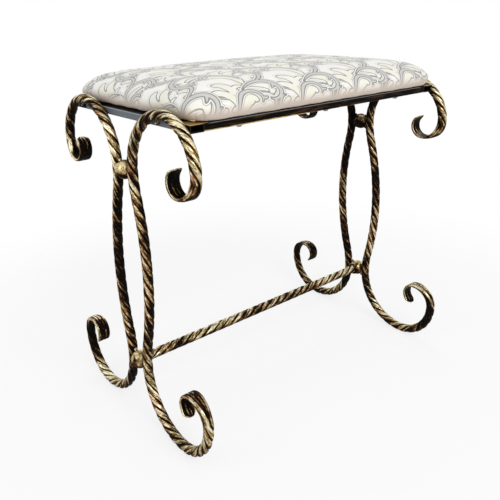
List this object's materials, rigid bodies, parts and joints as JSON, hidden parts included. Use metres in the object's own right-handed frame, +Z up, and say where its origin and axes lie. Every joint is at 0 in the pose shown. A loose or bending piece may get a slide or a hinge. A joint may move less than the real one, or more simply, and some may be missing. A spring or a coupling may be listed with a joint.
{
  "type": "upholstered wrought-iron bench",
  "caption": "Backless bench with a padded rectangular seat on scrolled twisted-bar end frames joined by a low stretcher.",
  "frame": {"origin": "on the floor, under the middle of the seat", "axes": "+X along the seat, +Y to the rear, +Z up"},
  "size_m": [0.496, 0.3402, 0.4939],
  "materials": {
    "twisted_iron": "black enamel over twisted bar, brushed with antique gold on the raised strands",
    "forged_ball": "forged steel ball, black in the hollows, heavily brushed with antique gold",
    "frame_tube": "satin black enamel on drawn tube, with gold brushed along the lower edge",
    "grey_tube": "smooth blue-grey paint on drawn tube, with a little gold rubbed on its edges",
    "weld_metal": "weld beads under black enamel, brushed with antique gold",
    "plywood": "raw plywood",
    "foam": "soft cut foam",
    "cover_fabric": "woven cream cloth with a grey and pale yellow scrolling-leaf pattern",
    "lining_cloth": "black spun-bonded lining",
    "zinc_steel": "zinc-plated steel"
  },
  "bodies": {
    "root": {"scroll_bar_front_left": "twisted_iron", "scroll_bar_rear_left": "twisted_iron", "scroll_bar_front_right": "twisted_iron", "scroll_bar_rear_right": "twisted_iron", "stretcher_bar": "twisted_iron", "upper_ball_left": "forged_ball", "lower_ball_left": "forged_ball", "upper_ball_right": "forged_ball", "lower_ball_right": "forged_ball", "front_rail": "frame_tube", "rear_rail": "frame_tube", "left_rail": "grey_tube", "right_rail": "grey_tube", "ball_welds": "weld_metal", "stretcher_welds": "weld_metal", "bar_to_rail_welds": "weld_metal", "frame_corner_welds": "weld_metal", "seat_board": "plywood", "foam_pad": "foam", "seat_cover": "cover_fabric", "lining": "lining_cloth", "seat_screws": "zinc_steel", "screw_washers": "zinc_steel"}
  },
  "joints": []
}
